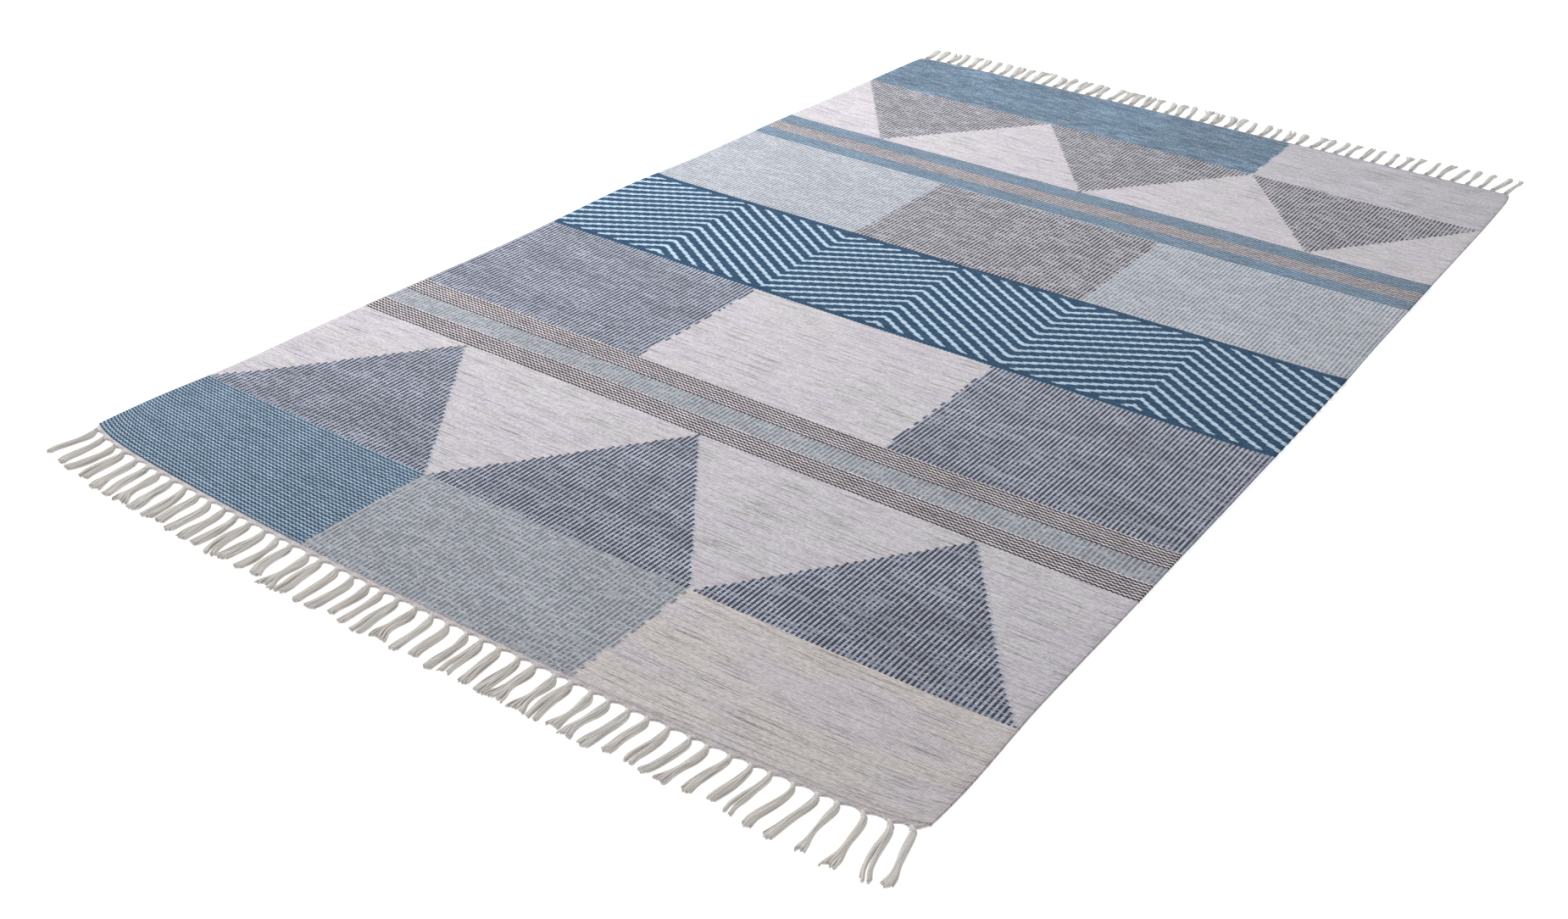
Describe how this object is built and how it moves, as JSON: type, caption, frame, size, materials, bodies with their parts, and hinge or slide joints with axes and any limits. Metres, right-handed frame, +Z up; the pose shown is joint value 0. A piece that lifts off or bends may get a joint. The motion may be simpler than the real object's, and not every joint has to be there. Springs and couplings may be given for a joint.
{
  "type": "kilim rug",
  "caption": "Flat-woven rug in blue, grey and off-white geometric areas, lying flat, with a knotted tassel fringe along both short ends.",
  "frame": {"origin": "under the middle of the whole rug, tassels included, on the floor", "axes": "+Z up; +Y along the rug, from the near fringe to the far one; +X across it, to the right as seen from the near fringe"},
  "size_m": [1.4212, 2.5838, 0.0075],
  "materials": {
    "woven_yarn": "coarse matt flat weave in melange yarn",
    "fringe_cotton": "soft matt undyed cotton yarn"
  },
  "bodies": {
    "root": {"woven_cloth": "woven_yarn", "near_fringe": "fringe_cotton", "far_fringe": "fringe_cotton"}
  },
  "joints": []
}
